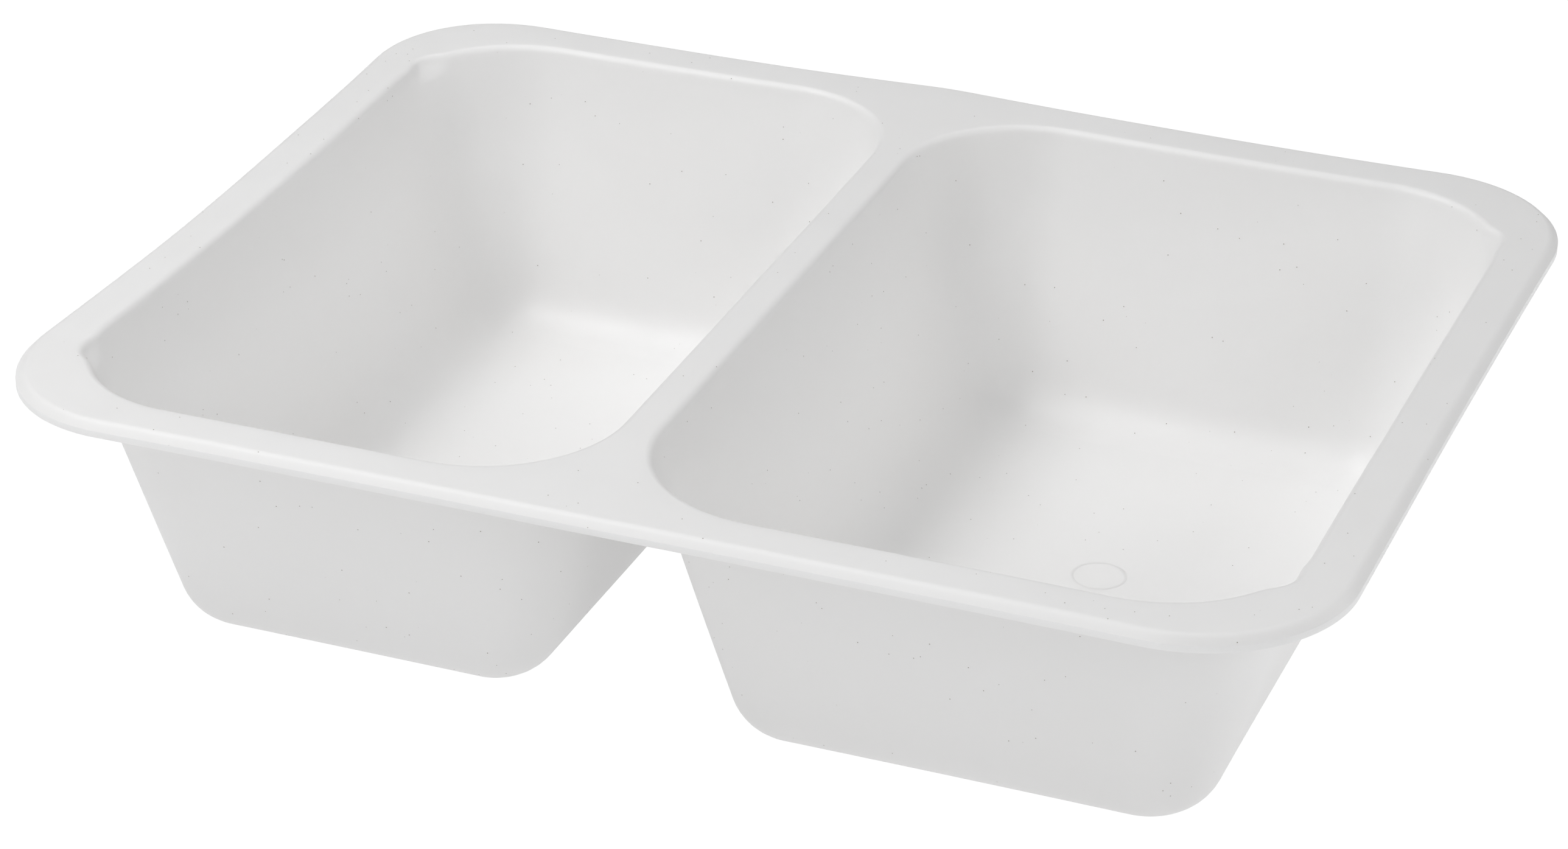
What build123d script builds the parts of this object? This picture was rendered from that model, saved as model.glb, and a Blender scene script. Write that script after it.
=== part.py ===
"""Two-compartment food tray, thermoformed in one piece from white plastic sheet.

Frame: +X along the length towards the larger well, +Y towards the back, +Z up.
Origin: under the middle of the tray, on the plane that the two well floors stand on.
Sizes are in millimetres. Each one below that is a plain number is set by itself.
"""
import os
from math import cos, radians, sin

from build123d import *

# Overall sizes, measured over the cut edge of the rim
overall_length = 227.0
overall_width = 178.0
overall_height = 50.0

# The sheet keeps its thickness in the flange and is drawn thinner in the wells
flange_sheet = 0.8
well_sheet = 0.45

# Rim: a flat flange that ends in a short skirt, bent down at 45 degrees and trimmed upright
rim_corner_radius = 26.5
skirt_angle = 45.0
skirt_drop = 1.3
skirt_bend_radius = 1.6

# Flange widths, from the cut edge to the line where a well wall would meet the flange's top
end_flange = 9.0
front_flange = 9.0
back_flange = 10.0

# Divider between the wells, at the flange's level
divider_width = 6.6
divider_from_middle = -6.2

# Wells, measured on their food side
draft_angle = 17.0
end_corner_radius = 25.0
divider_corner_radius = 24.0
floor_radius = 9.2
mouth_radius = 1.5
root_radius = 0.9

# Stacking pockets in the four outer corners of the wells, which keep nested trays from jamming
pocket_radius = 9.0
pocket_reach = 1.7
pocket_depth = 2.2
pocket_angle = 23.0

# Levels and lines that follow from those sizes
cut_edge_height = flange_sheet / cos(radians(skirt_angle))
skirt_edge_level = overall_height - skirt_drop
cut_edge_level = skirt_edge_level - cut_edge_height
flange_underside = overall_height - flange_sheet
front_line = -overall_width / 2 + front_flange
back_line = overall_width / 2 - back_flange
left_well = (-overall_length / 2 + end_flange, divider_from_middle - divider_width / 2)
right_well = (divider_from_middle + divider_width / 2, overall_length / 2 - end_flange)
pocket_swing = end_corner_radius + pocket_reach - pocket_radius
pocket_from_end = end_corner_radius - pocket_swing * cos(radians(pocket_angle))
pocket_from_side = end_corner_radius - pocket_swing * sin(radians(pocket_angle))


def well_form(span, end, sheet):
    """A solid the shape of a well's food side, or of its outside when given the sheet's thickness.

    span is the well's reach along X at the flange, and end is 0 or -1 for an outer end at its low or high X.
    """
    wall = sheet / cos(radians(draft_angle))
    floor_level = well_sheet - sheet
    pocket_level = overall_height - pocket_depth - sheet
    outward = -1 if end == 0 else 1
    pocket_x = span[end] - outward * pocket_from_end
    pocket_places = [(pocket_x, front_line + pocket_from_side), (pocket_x, back_line - pocket_from_side)]
    with BuildPart() as form:
        with BuildSketch(Plane.XY.offset(overall_height)) as mouth:
            with Locations(((span[0] + span[1]) / 2, (front_line + back_line) / 2)):
                Rectangle(span[1] - span[0] + 2 * wall, back_line - front_line + 2 * wall)
            fillet(mouth.vertices().group_by(Axis.X)[end], end_corner_radius + wall)
            fillet(mouth.vertices().group_by(Axis.X)[-1 - end], divider_corner_radius + wall)
        extrude(amount=floor_level - overall_height, taper=draft_angle)
        fillet(form.faces().sort_by(Axis.Z)[0].edges(), floor_radius + sheet)
        with BuildSketch(Plane.XY.offset(overall_height)):
            with Locations(*pocket_places):
                Circle(pocket_radius + wall)
        extrude(amount=pocket_level - overall_height, taper=draft_angle)
    return form.part


outsides = [well_form(left_well, 0, well_sheet), well_form(right_well, -1, well_sheet)]
cavities = [well_form(left_well, 0, 0), well_form(right_well, -1, 0)]

with BuildPart() as tray:
    # Upright cut edge of the rim, and the skirt's slope from it up to the flat flange
    with BuildSketch(Plane.XY.offset(cut_edge_level)):
        RectangleRounded(overall_length, overall_width, rim_corner_radius)
    extrude(amount=cut_edge_height)
    with BuildSketch(Plane.XY.offset(skirt_edge_level)):
        RectangleRounded(overall_length, overall_width, rim_corner_radius)
    extrude(amount=skirt_drop, taper=skirt_angle)
    fillet(tray.faces().sort_by(Axis.Z)[-1].edges(), skirt_bend_radius)

    # The sheet's underside follows the same bend, one thickness further in
    with BuildSketch(Plane.XY.offset(cut_edge_level)):
        RectangleRounded(overall_length, overall_width, rim_corner_radius)
    extrude(amount=flange_underside - cut_edge_level, taper=skirt_angle, mode=Mode.SUBTRACT)
    fillet(tray.faces().filter_by(Plane.XY).sort_by(Axis.Z)[0].edges(), skirt_bend_radius - flange_sheet)

    # Wells, hollowed through the flange
    add(outsides)
    add(cavities, mode=Mode.SUBTRACT)

    # The walls roll over into the flange, above and below
    flange_top = tray.faces().filter_by(Plane.XY).sort_by(Axis.Z)[-1]
    fillet([edge for mouth in flange_top.inner_wires() for edge in mouth.edges()], mouth_radius)
    flange_bottom = tray.faces().filter_by(Plane.XY).sort_by(Axis.Z)[-2]
    fillet([edge for root in flange_bottom.inner_wires() for edge in root.edges()], root_radius)

tray.part.label = "tray"

os.makedirs("parts", exist_ok=True)
export_step(tray.part, "parts/tray.step")
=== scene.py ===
"""Two-compartment food tray, thermoformed in one piece from white plastic sheet, on a pale studio floor.

Frame: +X along the length towards the larger well, +Y towards the back, +Z up, in metres. The well floors
stand on Z = 0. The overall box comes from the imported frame, and the tray is one sheet: a flat flange with a
short bent skirt round it, two drafted wells with a divider between them, and a stacking pocket in each
outer corner. A plain ring is moulded on the larger well's floor.
"""

from math import cos, pi, radians, sin, tan

import bpy
import numpy as np
from bpy.props import FloatProperty, FloatVectorProperty, IntProperty, PointerProperty, StringProperty
from mathutils import Matrix, Vector, noise


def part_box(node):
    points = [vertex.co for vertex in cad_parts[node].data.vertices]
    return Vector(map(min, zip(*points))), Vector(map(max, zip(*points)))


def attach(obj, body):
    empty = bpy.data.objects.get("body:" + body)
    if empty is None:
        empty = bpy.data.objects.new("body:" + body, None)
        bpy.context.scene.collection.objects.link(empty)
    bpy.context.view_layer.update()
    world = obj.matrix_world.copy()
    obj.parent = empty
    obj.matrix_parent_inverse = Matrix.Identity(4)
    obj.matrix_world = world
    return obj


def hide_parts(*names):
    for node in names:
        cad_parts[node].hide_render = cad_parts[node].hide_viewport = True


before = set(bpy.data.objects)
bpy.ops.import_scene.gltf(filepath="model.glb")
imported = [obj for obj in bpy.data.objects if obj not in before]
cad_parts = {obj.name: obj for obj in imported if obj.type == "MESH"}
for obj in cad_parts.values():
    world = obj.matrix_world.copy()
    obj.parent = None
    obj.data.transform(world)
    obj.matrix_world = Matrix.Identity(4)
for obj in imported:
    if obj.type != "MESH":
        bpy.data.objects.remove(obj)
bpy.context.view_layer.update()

bl_info = {
    "name": "Two-compartment food tray",
    "version": (1, 0, 0),
    "blender": (4, 5, 0),
    "location": "View3D > Sidebar > Food tray",
    "description": "Builds a thermoformed food tray and the studio that it is shown in",
    "category": "Add Mesh",
}

MM = 0.001
TRAY_LOW, TRAY_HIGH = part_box("tray")
HALF_LENGTH = (TRAY_HIGH.x - TRAY_LOW.x) / 2
HALF_WIDTH = (TRAY_HIGH.y - TRAY_LOW.y) / 2
HEIGHT = TRAY_HIGH.z - TRAY_LOW.z
# Points of the mesh that share a place to within this are made one
WELD = 0.001 * MM
SENSOR_WIDTH_MM = 36
POLYPROPYLENE_IOR = 1.49
# Nearly all of a noise texture's values lie between these
NOISE_LOW, NOISE_HIGH = 0.3, 0.7


def size(name, description, default_mm):
    """A length that a user would change, given here in millimetres."""
    return FloatProperty(name=name, description=description, default=default_mm * MM,
                         unit="LENGTH", subtype="DISTANCE", precision=5)


def angle(name, description, default_degrees):
    """An angle that a user would change, given here in degrees."""
    return FloatProperty(name=name, description=description, default=radians(default_degrees),
                         unit="ROTATION", subtype="ANGLE")


class TRAY_PG_sheet(bpy.types.PropertyGroup):
    """Thickness of the plastic sheet."""
    flange: size("Flange sheet", "Thickness where the sheet was clamped and not drawn", 0.8)
    well: size("Well sheet", "Thickness where the sheet was drawn down into the wells", 0.45)
    roll_end: FloatProperty(name="Roll end", default=0.4, min=0, max=1,
                            description="Share of the flange's extra thickness left below a mouth")


class TRAY_PG_rim(bpy.types.PropertyGroup):
    """The flange's outer edge."""
    corner_radius: size("Corner radius", "Outline's corners, at the cut edge", 26.5)
    bend_radius: size("Bend radius", "Top face of the bend between flange and skirt", 1.6)
    skirt_drop: size("Skirt drop", "Height from the flange down to the cut edge's top", 1.3)
    skirt_angle: angle("Skirt angle", "Slope of the skirt below the flange", 45)
    edge_radius: size("Edge radius", "Where the skirt meets the cut face", 0.12)
    cut_wander: size("Cut wander", "How far the cut edge's lower line strays", 0.05)
    wander_length: size("Wander length", "Distance from one stray of the cut to the next", 3)


class TRAY_PG_wells(bpy.types.PropertyGroup):
    """The two wells, measured on the food side at the flange's level."""
    end_flange: size("End flange", "From the cut edge to a well, at both ends", 9)
    front_flange: size("Front flange", "From the cut edge to the wells, in front", 9)
    back_flange: size("Back flange", "From the cut edge to the wells, behind", 10)
    divider_width: size("Divider width", "Between the wells", 6.6)
    divider_place: size("Divider place", "The divider's middle, from the tray's middle", -6.2)
    draft: angle("Draft", "Lean of the well walls from upright", 17)
    end_corner_radius: size("End corner radius", "A well's two corners at the tray's end", 25)
    divider_corner_radius: size("Divider corner radius", "A well's two corners at the divider", 24)
    floor_radius: size("Floor radius", "Where a wall curves into the floor", 9.2)
    mouth_radius: size("Mouth radius", "Where a wall rolls over into the flange", 1.5)


class TRAY_PG_pockets(bpy.types.PropertyGroup):
    """The stacking pockets in the wells' outer corners."""
    radius: size("Pocket radius", "Round of the pocket, seen from above", 6.5)
    reach: size("Pocket reach", "How far it stands out of the corner", 1.3)
    depth: size("Pocket depth", "From the flange down to its ledge", 2.2)
    place: angle("Pocket place", "Round the corner, from the end wall", 23)
    softness: size("Pocket softness", "Rounding where it runs out into the corner", 0.45)
    ledge_fall: size("Ledge fall", "Height that the ledge takes to run back into the wall", 3)


class TRAY_PG_mark(bpy.types.PropertyGroup):
    """The plain moulded ring on the larger well's floor."""
    place: FloatVectorProperty(name="Mark place", description="The ring's middle",
                               default=(50.5 * MM, 9 * MM), size=2, unit="LENGTH")
    radius: size("Mark radius", "From the ring's middle to its crest", 4.6)
    line: size("Mark line", "From the ring's crest to its foot", 0.35)
    height: size("Mark height", "From the bead's own middle to its crest", 0.1)
    crest: size("Mark crest", "From the floor to the ring's crest", 0.03)
    steps: IntProperty(name="Mark steps", description="Steps round the ring", default=96)
    section: IntProperty(name="Mark section", description="Steps round the ring's section", default=12)


class TRAY_PG_warp(bpy.types.PropertyGroup):
    """How the sheet pulled out of true as it cooled."""
    left_end: size("Left end", "The left end's pull inwards, at its middle", 3.15)
    right_end: size("Right end", "The right end's pull inwards, at its middle", 0.54)
    back: size("Back", "The back's pull inwards, at the middle of each well", 2.1)
    front: size("Front", "The front's pull outwards, at the middle of each well", -0.155)
    blend: FloatProperty(name="Blend", description="Rounding where two bows meet, as a share of a bow",
                         default=0.12, min=0.01, max=1)
    crown: size("Crown", "The flange's rise at the middle of the tray", 0.46)
    ripple: size("Ripple", "Height of the slow waves in the sheet", 0.2)
    ripple_length: size("Ripple length", "Length of the slow waves in the sheet", 45)
    ripple_rise: size("Ripple rise", "Height above the well floor at which the waves are whole", 4)


class TRAY_PG_mesh(bpy.types.PropertyGroup):
    """How finely the sheet is divided."""
    end_corner: IntProperty(name="End corner", description="Steps round an outer corner", default=48)
    divider_corner: IntProperty(name="Divider corner", description="Steps round a divider corner",
                                default=28)
    end_side: IntProperty(name="End side", description="Steps along an end wall", default=44)
    step: size("Step", "Distance between steps along the front and back walls", 2)
    roll: IntProperty(name="Roll", description="Steps over the mouth's roll and the rim's bend", default=8)
    skirt: IntProperty(name="Skirt", description="Steps down the skirt", default=3)
    edge: IntProperty(name="Edge", description="Steps round the edge between skirt and cut face", default=3)
    ledge: IntProperty(name="Ledge", description="Steps down past the pocket's ledge", default=12)
    wall: IntProperty(name="Wall", description="Steps down the rest of a wall", default=14)
    floor_round: IntProperty(name="Floor round", description="Steps round the floor's radius", default=12)
    flange: IntProperty(name="Flange", description="Steps across the flange", default=4)


class TRAY_PG_finish(bpy.types.PropertyGroup):
    """The plastic's look."""
    white: StringProperty(name="White", description="Pigmented plastic, sRGB", default="#FAFAFA")
    shade: StringProperty(name="Shade", description="Where the pigment was drawn thinner, sRGB",
                          default="#F8F7F6")
    speck: StringProperty(name="Speck", description="Burnt specks in the plastic, sRGB", default="#8F877B")
    speck_spacing: size("Speck spacing", "Distance from one speck to the next in the sheet", 2.6)
    speck_radius: size("Speck radius", "Size of a speck", 0.12)
    speck_core: FloatProperty(name="Speck core", description="Share of a speck's radius that is fully dark",
                              default=0.6, min=0, max=1)
    roughness: FloatProperty(name="Roughness", description="Of the moulded face", default=0.45,
                             min=0, max=1)
    roughness_spread: FloatProperty(name="Roughness spread", description="Unevenness of the sheen",
                                    default=0.04)
    cut_roughness: FloatProperty(name="Cut roughness", description="Of the die-cut face", default=0.6,
                                 min=0, max=1)
    drag_length: size("Drag length", "Across one drag line on the cut face", 0.525)
    drag_stretch: FloatProperty(name="Drag stretch", description="Width of a drag line over its length",
                                default=0.15)
    drag_height: size("Drag height", "Height of the drag lines", 0.008)
    patch_length: size("Patch length", "Across one patch of uneven sheen", 10)
    cloud_length: size("Cloud length", "Across the clouding in the sheet", 30)
    peel_length: size("Peel length", "Across one bump of the orange peel", 2.2)
    peel_height: size("Peel height", "Height of the orange peel", 0.006)
    grain_length: size("Grain length", "Across one grain of the tool's matt face", 0.35)
    grain_height: size("Grain height", "Height of the grain", 0.002)
    milkiness: FloatProperty(name="Milkiness", description="Share of light that soaks into the sheet",
                             default=0.25, min=0, max=1)
    milk_depth: size("Milk depth", "How far light soaks in", 1)


class TRAY_PG_stage(bpy.types.PropertyGroup):
    """Camera, floor and light."""
    azimuth: angle("Azimuth", "Camera's turn to the right of straight in front", 21.398)
    elevation: angle("Elevation", "Camera's height above the horizon", 27.706)
    roll: angle("Roll", "Camera's tilt about its own axis", 0.358)
    distance: size("Distance", "From the camera to the point that it looks at", 789.39)
    aim: FloatVectorProperty(name="Aim", description="The point that the camera looks at",
                             default=(0.229 * MM, -11.329 * MM, 29.754 * MM), unit="LENGTH", subtype="XYZ")
    lens: FloatProperty(name="Lens", description="Focal length on a 36 mm wide sensor, in millimetres",
                        default=107.45)
    softbox_distance: size("Softbox distance", "From the tray's middle to each softbox", 900)
    floor_size: size("Floor size", "Length of the floor's sides", 6000)
    floor_gap: size("Floor gap", "From the tray's underside down to the floor", 0.02)
    floor: StringProperty(name="Floor", description="Pale floor, sRGB", default="#FFFFFF")
    floor_bounce: StringProperty(name="Floor bounce", description="What the floor gives back, sRGB",
                                 default="#BCBCBC")
    floor_glow: FloatProperty(name="Floor glow", description="Light that the floor gives of itself",
                              default=0.44)
    room: FloatProperty(name="Room", description="Light from all round", default=0.02)
    seen_white: FloatProperty(name="Seen white", description="Brightness of floor and room in the picture",
                              default=1.05)


class TRAY_PG_tray(bpy.types.PropertyGroup):
    """Everything that a user would change."""
    sheet: PointerProperty(type=TRAY_PG_sheet)
    rim: PointerProperty(type=TRAY_PG_rim)
    wells: PointerProperty(type=TRAY_PG_wells)
    pockets: PointerProperty(type=TRAY_PG_pockets)
    mark: PointerProperty(type=TRAY_PG_mark)
    warp: PointerProperty(type=TRAY_PG_warp)
    mesh: PointerProperty(type=TRAY_PG_mesh)
    finish: PointerProperty(type=TRAY_PG_finish)
    stage: PointerProperty(type=TRAY_PG_stage)


# ---------------------------------------------------------------- outlines

def along(knots, steps):
    """Stations from knot to knot, whose numbers are mixed evenly. In a rounded outline a knot is a centre, a
    radius and a direction.
    """
    rows = [np.linspace(a, b, n, endpoint=False) for a, b, n in zip(knots, knots[1:], steps)]
    return np.vstack(rows + [np.array([knots[-1]])])


def outline(stations, inset):
    """The stations' points on the outline that lies inset inside the nominal one."""
    reach = stations[:, 2] - inset
    turn = stations[:, 3]
    return stations[:, :2] + np.column_stack((np.cos(turn), np.sin(turn))) * np.asarray(reach)[:, None]


def level(points, height):
    """Flat points, lifted to a height."""
    return np.column_stack((points, np.full(len(points), height)))


def smooth(t):
    """0 to 1 with level ends."""
    t = np.clip(t, 0, 1)
    return t * t * (3 - 2 * t)


# ---------------------------------------------------------------- sections

def wall_section(tray):
    """A well's section from the mouth's roll to the floor: rows of inset, height and share of the flange's
    extra thickness.
    """
    wells, mesh = tray.wells, tray.mesh
    slope = tan(wells.draft)
    turn = pi / 2 - wells.draft
    floor = tray.sheet.well
    mouth, foot = wells.mouth_radius, wells.floor_radius
    mouth_reach = mouth * tan(turn / 2)
    floor_inset = (HEIGHT - floor) * slope + foot * tan(turn / 2)
    rows = []
    for k in range(mesh.roll + 1):
        share = k / mesh.roll
        bend = turn * share
        height = HEIGHT - mouth + mouth * cos(bend)
        rows.append((-mouth_reach + mouth * sin(bend), height, 1 - smooth(share) * (1 - tray.sheet.roll_end)))
    roll_end = rows[-1][1]
    ledge_end = HEIGHT - tray.pockets.depth - tray.pockets.ledge_fall
    round_start = floor + foot - foot * cos(turn)
    for k in range(1, mesh.ledge + 1):
        height = roll_end + (ledge_end - roll_end) * k / mesh.ledge
        rows.append(((HEIGHT - height) * slope, height, tray.sheet.roll_end * (1 - k / mesh.ledge)))
    for k in range(1, mesh.wall + 1):
        height = ledge_end + (round_start - ledge_end) * k / mesh.wall
        rows.append(((HEIGHT - height) * slope, height, 0))
    for k in range(1, mesh.floor_round + 1):
        bend = turn * (1 - k / mesh.floor_round)
        rows.append((floor_inset - foot * sin(bend), floor + foot - foot * cos(bend), 0))
    return rows


def rim_section(tray):
    """The rim's section from the flat flange to the cut edge: rows of inset and height."""
    rim = tray.rim
    bend_reach = rim.bend_radius * tan(rim.skirt_angle / 2)
    flat = rim.skirt_drop / tan(rim.skirt_angle) + bend_reach
    rows = []
    for k in range(tray.mesh.roll + 1):
        bend = rim.skirt_angle * k / tray.mesh.roll
        rows.append((flat - rim.bend_radius * sin(bend), HEIGHT - rim.bend_radius * (1 - cos(bend))))
    top = Vector(rows[-1])
    edge_reach = rim.edge_radius * tan(rim.skirt_angle / 2)
    edge = Vector((0, HEIGHT - rim.skirt_drop))
    foot = edge + edge_reach * Vector((cos(rim.skirt_angle), sin(rim.skirt_angle)))
    for k in range(1, tray.mesh.skirt + 1):
        rows.append(tuple(top.lerp(foot, k / tray.mesh.skirt)))
    return rows


def cut_section(tray):
    """The cut face's section, below the skirt: rows of outward and upward from the corner they would make."""
    rim = tray.rim
    radius = rim.edge_radius
    edge_reach = radius * tan(rim.skirt_angle / 2)
    cut = tray.sheet.flange / cos(rim.skirt_angle)
    rows = []
    for k in range(tray.mesh.edge + 1):
        bend = rim.skirt_angle * (1 - k / tray.mesh.edge)
        rows.append((-radius * (1 - cos(bend)), -edge_reach + radius * sin(bend)))
    rows.append((0, -cut / 2))
    rows.append((0, -cut))
    return rows


# ---------------------------------------------------------------- the sheet

def pocket_bulge(tray, stations):
    """How far the pockets push a well's outline out at each station."""
    pockets, corner = tray.pockets, tray.wells.end_corner_radius
    swing = corner + pockets.reach - pockets.radius
    bulge = np.zeros(len(stations))
    for place in (2 * pi - pockets.place, 2 * pi + pockets.place):
        aside = stations[:, 3] - place
        half_chord = np.sqrt(np.maximum(pockets.radius ** 2 - (swing * np.sin(aside)) ** 2, 0))
        # Stations more than an eighth of a turn away are out of the pocket's reach
        height = np.where(np.abs(aside) < pi / 4, swing * np.cos(aside) + half_chord - corner, -corner)
        bulge += (height + np.sqrt(height ** 2 + pockets.softness ** 2)) / 2
    return bulge


def grid_faces(rows, columns, closed):
    """Quads of a grid of points that was stored row by row."""
    across = columns if closed else columns - 1
    r, c = np.meshgrid(np.arange(rows - 1), np.arange(across), indexing="ij")
    right = (c + 1) % columns
    return np.stack([r * columns + c, r * columns + right, (r + 1) * columns + right, (r + 1) * columns + c],
                    axis=-1).reshape(-1, 4)


def floor_grid(ring, front, end):
    """Fills a closed ring with a grid of front by end steps, starting at the ring's first point."""
    closed = np.vstack((ring, ring[:1]))
    low, side = closed[:front + 1], closed[front:front + end + 1]
    high, start = closed[front + end:2 * front + end + 1][::-1], closed[2 * front + end:][::-1]
    u = ((low + high)[:, 0] - (low + high)[0, 0]) / ((low + high)[-1, 0] - (low + high)[0, 0])
    v = ((start + side)[:, 1] - (start + side)[0, 1]) / ((start + side)[-1, 1] - (start + side)[0, 1])
    u, v = u[None, :, None], v[:, None, None]
    corners = ((1 - u) * (1 - v) * low[0] + u * (1 - v) * low[-1] + (1 - u) * v * high[0] + u * v * high[-1])
    fill = (1 - v) * low[None] + v * high[None] + (1 - u) * start[:, None] + u * side[:, None] - corners
    return fill.reshape(-1, 3)


def half_tray(tray, hand):
    """One well with its share of flange and rim. hand is 1 for the well at high X and -1 for the other.

    Points are laid out with the divider at low U and the tray's end at high U, and hand turns U into X.
    Returns the points, their share of the flange's sheet, and the quads.
    """
    wells, rim, mesh = tray.wells, tray.rim, tray.mesh
    divider = wells.divider_place * hand
    inner = divider + wells.divider_width / 2 + wells.divider_corner_radius
    outer = HALF_LENGTH - wells.end_flange - wells.end_corner_radius
    front, back = -HALF_WIDTH + wells.front_flange, HALF_WIDTH - wells.back_flange
    near, far = wells.divider_corner_radius, wells.end_corner_radius
    half, whole = mesh.divider_corner // 2, mesh.end_corner
    long_steps = round((outer - inner) / mesh.step)
    divider_steps = mesh.end_side + mesh.end_corner - mesh.divider_corner
    quarter = pi / 2

    well_knots = [
        (inner, front + near, near, 2.5 * quarter),
        (inner, front + near, near, 3 * quarter),
        (outer, front + far, far, 3 * quarter),
        (outer, front + far, far, 4 * quarter),
        (outer, back - far, far, 4 * quarter),
        (outer, back - far, far, 5 * quarter),
        (inner, back - near, near, 5 * quarter),
        (inner, back - near, near, 5.5 * quarter),
        (inner, back - near, near, 6 * quarter),
        (inner, front + near, near, 6 * quarter),
        (inner, front + near, near, 6.5 * quarter),
    ]
    steps = [half, long_steps, whole, mesh.end_side, whole, long_steps, half, half, divider_steps, half]
    well = along(well_knots, steps)[:-1]

    round_off = rim.corner_radius
    rim_end, rim_side = HALF_LENGTH - round_off, HALF_WIDTH - round_off
    rim_knots = [
        (divider, -rim_side, round_off, 3 * quarter),
        (inner, -rim_side, round_off, 3 * quarter),
        (rim_end, -rim_side, round_off, 3 * quarter),
        (rim_end, -rim_side, round_off, 4 * quarter),
        (rim_end, rim_side, round_off, 4 * quarter),
        (rim_end, rim_side, round_off, 5 * quarter),
        (inner, rim_side, round_off, 5 * quarter),
        (divider, rim_side, round_off, 5 * quarter),
    ]
    edge = along(rim_knots, steps[:7])

    section = rim_section(tray)
    flat = section[0][0]
    centre_knots = [
        (divider, HALF_WIDTH - flat),
        (divider, back - near),
        (divider, front + near),
        (divider, -HALF_WIDTH + flat),
    ]
    centre_line = along(centre_knots, steps[7:])[1:-1]

    # Flange, from its flat outer edge to the mouth, then down the wall to the floor
    bulge = pocket_bulge(tray, well)
    walls = wall_section(tray)
    ledge = HEIGHT - tray.pockets.depth
    rows, shares = [], []
    outside = level(np.vstack((outline(edge, flat), centre_line)), HEIGHT)
    mouth = level(outline(well, walls[0][0] - bulge), HEIGHT)
    for k in range(mesh.flange):
        rows.append(outside + (mouth - outside) * k / mesh.flange)
        shares.append(np.ones(len(well)))
    for inset, height, share in walls:
        fade = smooth((height - ledge) / tray.pockets.ledge_fall + 0.5)
        rows.append(level(outline(well, inset - bulge * fade), height))
        shares.append(np.full(len(well), share))
    points = [np.vstack(rows)]
    sheets = [np.concatenate(shares)]
    faces = [grid_faces(len(rows), len(well), True)]

    # Floor
    front_steps, end_steps = half + long_steps + whole // 2, whole + mesh.end_side
    floor = floor_grid(rows[-1], front_steps, end_steps)
    faces.append(grid_faces(end_steps + 1, front_steps + 1, False) + len(points[0]))
    points.append(floor)
    sheets.append(np.zeros(len(floor)))

    # Bend and skirt, round the three outer sides
    strip = np.vstack([level(outline(edge, inset), height) for inset, height in reversed(section)])
    faces.append(grid_faces(len(section), len(edge), False) + len(points[0]) + len(floor))
    points.append(strip)
    sheets.append(np.ones(len(strip)))

    points, sheets, faces = np.vstack(points), np.concatenate(sheets), np.vstack(faces)
    points[:, 0] *= hand
    return points, sheets, faces if hand > 0 else faces[:, ::-1]


def warped(tray, points):
    """The points, pulled out of true: bowed ends, front and back, and a crowned flange."""
    warp, wells = tray.warp, tray.wells
    x, y, z = points.T.copy()
    rise = z / HEIGHT
    across = np.clip(1 - (y / HALF_WIDTH) ** 2, 0, 1)
    moved_x = x + warp.left_end * across * np.maximum(-x / HALF_LENGTH, 0)
    moved_x -= warp.right_end * across * np.maximum(x / HALF_LENGTH, 0)
    hand = np.where(x < wells.divider_place, -1, 1)
    middle = (hand * HALF_LENGTH + wells.divider_place) / 2
    span = (HALF_LENGTH - hand * wells.divider_place) / 2
    bow = np.clip(1 - ((x - middle) / span) ** 2, 0, 1)
    between = (np.hypot(bow, warp.blend) - warp.blend) / (np.hypot(1, warp.blend) - warp.blend)
    moved_y = y - warp.back * between * np.maximum(y / HALF_WIDTH, 0)
    moved_y -= warp.front * between * np.maximum(-y / HALF_WIDTH, 0)
    moved_z = z + warp.crown * rise * np.clip(1 - (x / HALF_LENGTH) ** 2, 0, 1)
    return np.column_stack((moved_x, moved_y, moved_z))


def rippled(tray, points, normals):
    """The points, pushed along their normals by slow waves that die out at the floor the tray stands on."""
    warp = tray.warp
    waves = np.array([noise.noise(Vector(p) / warp.ripple_length) for p in points])
    hold = smooth((points[:, 2] - tray.sheet.well) / warp.ripple_rise)
    return points + normals * (waves * hold * warp.ripple)[:, None]


def merged(points, sheets, faces):
    """The same mesh with points that share a place made one."""
    keys = np.round(points / WELD).astype(np.int64)
    _, first, back = np.unique(keys, axis=0, return_index=True, return_inverse=True)
    return points[first], sheets[first], back.ravel()[faces]


def point_normals(points, faces):
    """Each point's normal, from the quads round it."""
    a, b, c, d = (points[faces[:, k]] for k in range(4))
    face_normals = np.cross(c - a, d - b)
    normals = np.zeros_like(points)
    for k in range(4):
        np.add.at(normals, faces[:, k], face_normals)
    return normals / np.linalg.norm(normals, axis=1)[:, None]


def open_edges(faces):
    """The edges that only one quad has, in that quad's order."""
    edges = np.concatenate([np.stack((faces[:, k], faces[:, (k + 1) % 4]), axis=1) for k in range(4)])
    _, back, count = np.unique(np.sort(edges, axis=1), axis=0, return_inverse=True, return_counts=True)
    return edges[count[back.ravel()] == 1]


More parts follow.
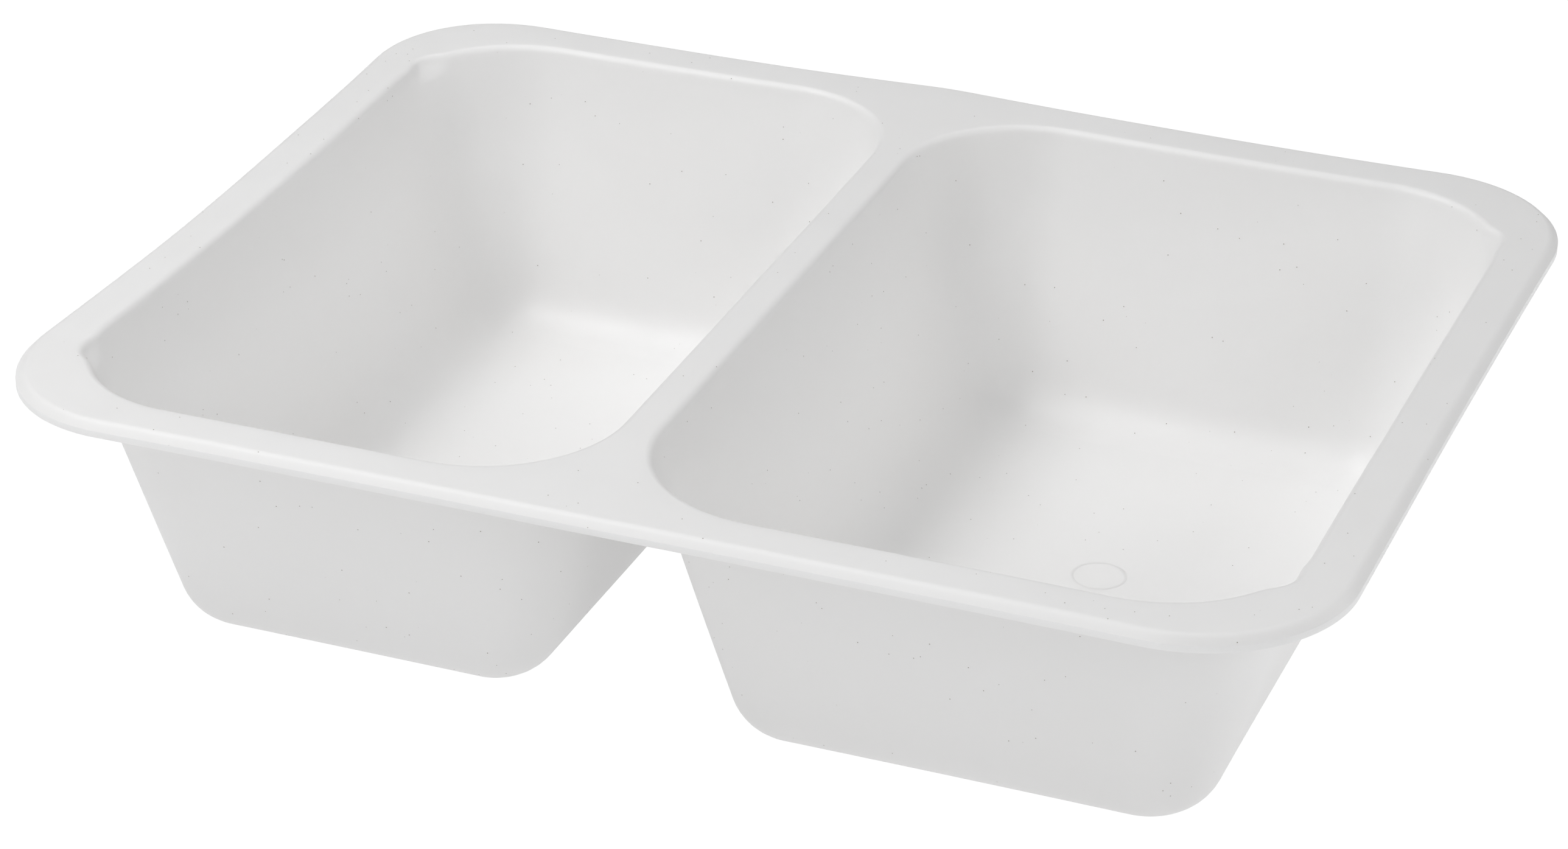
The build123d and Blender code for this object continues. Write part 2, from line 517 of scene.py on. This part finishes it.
def build_shell(tray):
    """The whole sheet as one closed mesh: food side, underside and the cut edge between them."""
    halves = [half_tray(tray, hand) for hand in (-1, 1)]
    shift = len(halves[0][0])
    points = np.vstack([h[0] for h in halves])
    sheets = np.concatenate([h[1] for h in halves])
    faces = np.vstack((halves[0][2], halves[1][2] + shift))
    points, sheets, faces = merged(points, sheets, faces)

    top = warped(tray, points)
    top = rippled(tray, top, point_normals(top, faces))
    normals = point_normals(top, faces)
    thickness = tray.sheet.well + (tray.sheet.flange - tray.sheet.well) * sheets
    under = top - normals * thickness[:, None]
    rim_edges = open_edges(faces)
    rim_points = np.unique(rim_edges)

    # The cut face hangs from the skirt's end, and its lower line is the underside's edge
    outward = normals[rim_points] * (1, 1, 0)
    outward /= np.linalg.norm(outward, axis=1)[:, None]
    section = cut_section(tray)
    corner = top[rim_points] - outward * section[0][0] - np.array((0, 0, section[0][1]))
    upward = np.array((0, 0, 1))
    strands = [corner + outward * out + upward * up for out, up in section]
    stray = np.array([noise.noise(Vector(p) / tray.rim.wander_length) for p in corner])
    strands[-1] = strands[-1] + upward * (np.abs(stray) * tray.rim.cut_wander)[:, None]
    under[rim_points] = strands[-1]

    count = len(top)
    between = np.vstack(strands[1:-1])
    levels = len(section)
    place = np.zeros(count, np.int64)
    place[rim_points] = np.arange(len(rim_points))
    first, second = place[rim_edges[:, 0]], place[rim_edges[:, 1]]
    rings = [rim_points]
    rings += [2 * count + k * len(rim_points) + np.arange(len(rim_points)) for k in range(levels - 2)]
    rings += [rim_points + count]
    cut_faces = [np.column_stack((up[second], up[first], down[first], down[second]))
                 for up, down in zip(rings, rings[1:])]
    every = np.vstack([faces, faces[:, ::-1] + count] + cut_faces)
    mesh = bpy.data.meshes.new("tray_shell")
    mesh.from_pydata(np.vstack((top, under, between)).tolist(), [], every.tolist())
    mesh.update()
    mesh.shade_smooth()
    slots = np.zeros(len(every), np.int32)
    slots[2 * len(faces):] = 1
    mesh.polygons.foreach_set("material_index", slots)
    lower_line = np.zeros(len(mesh.vertices), bool)
    lower_line[rings[-1]] = True
    ends = np.empty(2 * len(mesh.edges), np.int32)
    mesh.edges.foreach_get("vertices", ends)
    sharp = mesh.attributes.new("sharp_edge", "BOOLEAN", "EDGE")
    sharp.data.foreach_set("value", lower_line[ends.reshape(-1, 2)].all(axis=1))
    shell = bpy.data.objects.new("tray_shell", mesh)
    bpy.context.scene.collection.objects.link(shell)
    return shell


def build_mark(tray):
    """The moulded ring, a low bead that is mostly inside the sheet."""
    mark = tray.mark
    bpy.ops.mesh.primitive_torus_add(major_radius=mark.radius, minor_radius=mark.line,
                                     major_segments=mark.steps, minor_segments=mark.section)
    ring = bpy.context.object
    ring.name = ring.data.name = "mould_mark"
    ring.data.transform(Matrix.Diagonal((1, 1, mark.height / mark.line, 1)))
    ring.data.shade_smooth()
    ring.location = (*mark.place, tray.sheet.well + mark.crest - mark.height)
    return ring


# ---------------------------------------------------------------- materials

def linear(hex_colour):
    """An sRGB hex colour as linear red, green, blue and alpha."""
    channels = [int(hex_colour[k:k + 2], 16) / 255 for k in (1, 3, 5)]
    return [c / 12.92 if c <= 0.04045 else ((c + 0.055) / 1.055) ** 2.4 for c in channels] + [1]


def add_node(tree, kind, settings=None, **inputs):
    """Adds a node. Settings are its own options, and inputs are socket values or the sockets to link."""
    node = tree.nodes.new(kind)
    for name, value in (settings or {}).items():
        setattr(node, name, value)
    for name, value in inputs.items():
        socket = node.inputs[name.replace("_", " ")]
        if isinstance(value, bpy.types.NodeSocket):
            tree.links.new(value, socket)
        else:
            socket.default_value = value
    return node


def noise_waves(tree, place, length, detail=2.0):
    """A noise node whose waves are length long."""
    return add_node(tree, "ShaderNodeTexNoise", Vector=place, Scale=1 / length, Detail=detail)


def thermoformed_polypropylene(finish):
    """White polypropylene sheet, vacuum formed over a matt tool.

    The eye sees a dense, milky white with a soft satin sheen, faintly clouded where the pigment was drawn
    thinner, a very fine matt grain from the tool, and a few dark specks of burnt plastic.
    """
    material = bpy.data.materials.new("thermoformed_polypropylene")
    material.use_nodes = True
    tree = material.node_tree
    shader = tree.nodes["Principled BSDF"]
    place = add_node(tree, "ShaderNodeTexCoord").outputs["Object"]

    # Clouding, a few centimetres across
    clouds = noise_waves(tree, place, finish.cloud_length)
    tint = add_node(tree, "ShaderNodeMix", {"data_type": "RGBA"}, Factor=clouds.outputs["Fac"])
    tint.inputs["A"].default_value = linear(finish.white)
    tint.inputs["B"].default_value = linear(finish.shade)

    # Specks: one in each cell, most of them too deep in the sheet to show
    cells = add_node(tree, "ShaderNodeTexVoronoi", Vector=place, Scale=1 / finish.speck_spacing)
    reach = finish.speck_radius / finish.speck_spacing
    speck = add_node(tree, "ShaderNodeMapRange", {"interpolation_type": "SMOOTHSTEP"},
                     Value=cells.outputs["Distance"], From_Min=reach * finish.speck_core, From_Max=reach,
                     To_Min=1, To_Max=0)
    coloured = add_node(tree, "ShaderNodeMix", {"data_type": "RGBA"}, Factor=speck.outputs["Result"])
    tree.links.new(tint.outputs["Result"], coloured.inputs["A"])
    coloured.inputs["B"].default_value = linear(finish.speck)
    tree.links.new(coloured.outputs["Result"], shader.inputs["Base Color"])

    # Sheen, a little uneven where the sheet touched the tool early or late
    patches = noise_waves(tree, place, finish.patch_length, 3)
    sheen = add_node(tree, "ShaderNodeMapRange", Value=patches.outputs["Fac"],
                     From_Min=NOISE_LOW, From_Max=NOISE_HIGH,
                     To_Min=finish.roughness - finish.roughness_spread,
                     To_Max=finish.roughness + finish.roughness_spread)
    tree.links.new(sheen.outputs["Result"], shader.inputs["Roughness"])

    # Tool grain over a slow orange peel
    peel = noise_waves(tree, place, finish.peel_length)
    grain = noise_waves(tree, place, finish.grain_length)
    peel_bump = add_node(tree, "ShaderNodeBump", Strength=1, Distance=finish.peel_height,
                         Height=peel.outputs["Fac"])
    bump = add_node(tree, "ShaderNodeBump", Strength=1, Distance=finish.grain_height,
                    Height=grain.outputs["Fac"], Normal=peel_bump.outputs["Normal"])
    tree.links.new(bump.outputs["Normal"], shader.inputs["Normal"])

    shader.inputs["IOR"].default_value = POLYPROPYLENE_IOR
    shader.inputs["Subsurface Weight"].default_value = finish.milkiness
    shader.inputs["Subsurface Radius"].default_value = (1, 1, 1)
    shader.inputs["Subsurface Scale"].default_value = finish.milk_depth
    return material


def die_cut_polypropylene(finish):
    """White polypropylene sheet, cut through by a steel rule.

    The eye sees a dry, pale face with no sheen and fine upright drag lines.
    """
    material = bpy.data.materials.new("die_cut_polypropylene")
    material.use_nodes = True
    tree = material.node_tree
    shader = tree.nodes["Principled BSDF"]
    place = add_node(tree, "ShaderNodeTexCoord").outputs["Object"]
    drawn = add_node(tree, "ShaderNodeMapping", Vector=place, Scale=(1, 1, finish.drag_stretch))
    drag = noise_waves(tree, drawn.outputs["Vector"], finish.drag_length)
    bump = add_node(tree, "ShaderNodeBump", Strength=1, Distance=finish.drag_height,
                    Height=drag.outputs["Fac"])
    tree.links.new(bump.outputs["Normal"], shader.inputs["Normal"])
    shader.inputs["Base Color"].default_value = linear(finish.white)
    shader.inputs["Roughness"].default_value = finish.cut_roughness
    shader.inputs["IOR"].default_value = POLYPROPYLENE_IOR
    shader.inputs["Subsurface Weight"].default_value = 1
    shader.inputs["Subsurface Radius"].default_value = (1, 1, 1)
    shader.inputs["Subsurface Scale"].default_value = finish.milk_depth
    return material


def studio_floor(stage):
    """Pale painted board, matt and evenly lit, so bright that the eye sees plain white and no texture."""
    material = bpy.data.materials.new("studio_floor")
    material.use_nodes = True
    tree = material.node_tree
    tree.nodes.clear()
    seen = add_node(tree, "ShaderNodeEmission", Color=linear(stage.floor), Strength=stage.seen_white)
    matt = add_node(tree, "ShaderNodeBsdfDiffuse", Color=linear(stage.floor_bounce))
    glow = add_node(tree, "ShaderNodeEmission", Color=linear(stage.floor), Strength=stage.floor_glow)
    given = add_node(tree, "ShaderNodeAddShader")
    tree.links.new(matt.outputs["BSDF"], given.inputs[0])
    tree.links.new(glow.outputs["Emission"], given.inputs[1])
    looked_at = add_node(tree, "ShaderNodeLightPath").outputs["Is Camera Ray"]
    both = add_node(tree, "ShaderNodeMixShader", Fac=looked_at)
    tree.links.new(given.outputs["Shader"], both.inputs[1])
    tree.links.new(seen.outputs["Emission"], both.inputs[2])
    add_node(tree, "ShaderNodeOutputMaterial", Surface=both.outputs["Shader"])
    return material


# ---------------------------------------------------------------- operators

# Name, turn to the right of straight in front and height above the horizon (degrees), diameter (metres) and
# power (watts)
SOFTBOXES = (
    ("key_softbox", -60, 62, 0.42, 2.15),
    ("back_key_softbox", -120, 62, 0.75, 2.65),
    ("front_key_softbox", -30, 45, 0.75, 2.0),
    ("front_fill_softbox", -30, 9, 0.32, 0.5),
    ("right_front_fill_softbox", 60, 27, 0.48, 1.6),
    ("right_back_fill_softbox", 120, 27, 0.48, 1.0),
    ("right_low_fill_softbox", 120, 12, 0.38, 0.7),
)


def backward(turn, rise):
    """The direction from the tray to something that is turned to the right and raised by these angles."""
    return Vector((sin(turn) * cos(rise), -cos(turn) * cos(rise), sin(rise)))


class TRAY_OT_shell(bpy.types.Operator):
    """Builds the tray's sheet and puts it in the place of the plain one"""
    bl_idname = "tray.shell"
    bl_label = "Tray shell"
    bl_options = {"REGISTER", "UNDO"}

    def execute(self, context):
        tray = context.scene.food_tray
        shell = build_shell(tray)
        shell.data.materials.append(thermoformed_polypropylene(tray.finish))
        shell.data.materials.append(die_cut_polypropylene(tray.finish))
        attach(shell, "root")
        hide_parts("tray")
        return {"FINISHED"}


class TRAY_OT_mark(bpy.types.Operator):
    """Builds the moulded ring on the larger well's floor, in the shell's own plastic"""
    bl_idname = "tray.mark"
    bl_label = "Mould mark"
    bl_options = {"REGISTER", "UNDO"}

    def execute(self, context):
        mark = build_mark(context.scene.food_tray)
        mark.data.materials.append(bpy.data.objects["tray_shell"].data.materials[0])
        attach(mark, "root")
        return {"FINISHED"}


class TRAY_OT_stage(bpy.types.Operator):
    """Sets up the floor, the light and the camera"""
    bl_idname = "tray.stage"
    bl_label = "Stage"
    bl_options = {"REGISTER", "UNDO"}

    def execute(self, context):
        stage = context.scene.food_tray.stage
        self.add_floor(context, stage)
        self.add_light(context, stage)
        self.add_camera(context, stage)
        return {"FINISHED"}

    def add_floor(self, context, stage):
        half = stage.floor_size / 2
        mesh = bpy.data.meshes.new("studio_floor")
        corners = [(-half, -half, 0), (half, -half, 0), (half, half, 0), (-half, half, 0)]
        mesh.from_pydata(corners, [], [(0, 1, 2, 3)])
        mesh.materials.append(studio_floor(stage))
        floor = bpy.data.objects.new("studio_floor", mesh)
        floor.location.z = -stage.floor_gap
        context.scene.collection.objects.link(floor)

    def add_softbox(self, context, stage, name, turn, rise, diameter, power):
        """A round area light that faces the tray, turned and raised about it as the camera is."""
        data = bpy.data.lights.new(name, "AREA")
        data.shape = "DISK"
        data.size = diameter
        data.energy = power
        box = bpy.data.objects.new(name, data)
        back = backward(turn, rise)
        box.location = Vector((0, 0, HEIGHT / 2)) + back * stage.softbox_distance
        box.rotation_euler = back.to_track_quat("Z", "Y").to_euler()
        context.scene.collection.objects.link(box)

    def add_light(self, context, stage):
        world = bpy.data.worlds.new("studio")
        world.use_nodes = True
        tree = world.node_tree
        tree.nodes.clear()
        seen = add_node(tree, "ShaderNodeBackground", Color=linear(stage.floor), Strength=stage.seen_white)
        given = add_node(tree, "ShaderNodeBackground", Color=linear(stage.floor), Strength=stage.room)
        looked_at = add_node(tree, "ShaderNodeLightPath").outputs["Is Camera Ray"]
        both = add_node(tree, "ShaderNodeMixShader", Fac=looked_at)
        tree.links.new(given.outputs["Background"], both.inputs[1])
        tree.links.new(seen.outputs["Background"], both.inputs[2])
        add_node(tree, "ShaderNodeOutputWorld", Surface=both.outputs["Shader"])
        context.scene.world = world
        for name, turn, rise, diameter, power in SOFTBOXES:
            self.add_softbox(context, stage, name, radians(turn), radians(rise), diameter, power)
        context.scene.view_settings.view_transform = "Standard"

    def add_camera(self, context, stage):
        turn, rise, roll = stage.azimuth, stage.elevation, stage.roll
        back = backward(turn, rise)
        level_right = Vector((cos(turn), sin(turn), 0))
        level_up = back.cross(level_right)
        right = level_right * cos(roll) + level_up * sin(roll)
        up = level_up * cos(roll) - level_right * sin(roll)
        data = bpy.data.cameras.new("studio_camera")
        data.sensor_width = SENSOR_WIDTH_MM
        data.lens = stage.lens
        camera = bpy.data.objects.new("studio_camera", data)
        place = Vector(stage.aim) + back * stage.distance
        camera.matrix_world = Matrix.Translation(place) @ Matrix((right, up, back)).transposed().to_4x4()
        context.scene.collection.objects.link(camera)
        context.scene.camera = camera


class TRAY_PT_panel(bpy.types.Panel):
    """Lists the tray's operators"""
    bl_idname = "TRAY_PT_panel"
    bl_label = "Food tray"
    bl_space_type = "VIEW_3D"
    bl_region_type = "UI"
    bl_category = "Food tray"

    def draw(self, context):
        for operator in (TRAY_OT_shell, TRAY_OT_mark, TRAY_OT_stage):
            self.layout.operator(operator.bl_idname)


CLASSES = (
    TRAY_PG_sheet, TRAY_PG_rim, TRAY_PG_wells, TRAY_PG_pockets, TRAY_PG_mark, TRAY_PG_warp, TRAY_PG_mesh,
    TRAY_PG_finish, TRAY_PG_stage, TRAY_PG_tray, TRAY_OT_shell, TRAY_OT_mark, TRAY_OT_stage, TRAY_PT_panel,
)


def register():
    for cls in CLASSES:
        bpy.utils.register_class(cls)
    bpy.types.Scene.food_tray = PointerProperty(type=TRAY_PG_tray)


def unregister():
    del bpy.types.Scene.food_tray
    for cls in reversed(CLASSES):
        bpy.utils.unregister_class(cls)


def main():
    register()
    bpy.ops.tray.shell()
    bpy.ops.tray.mark()
    bpy.ops.tray.stage()


if __name__ == "__main__":
    main()
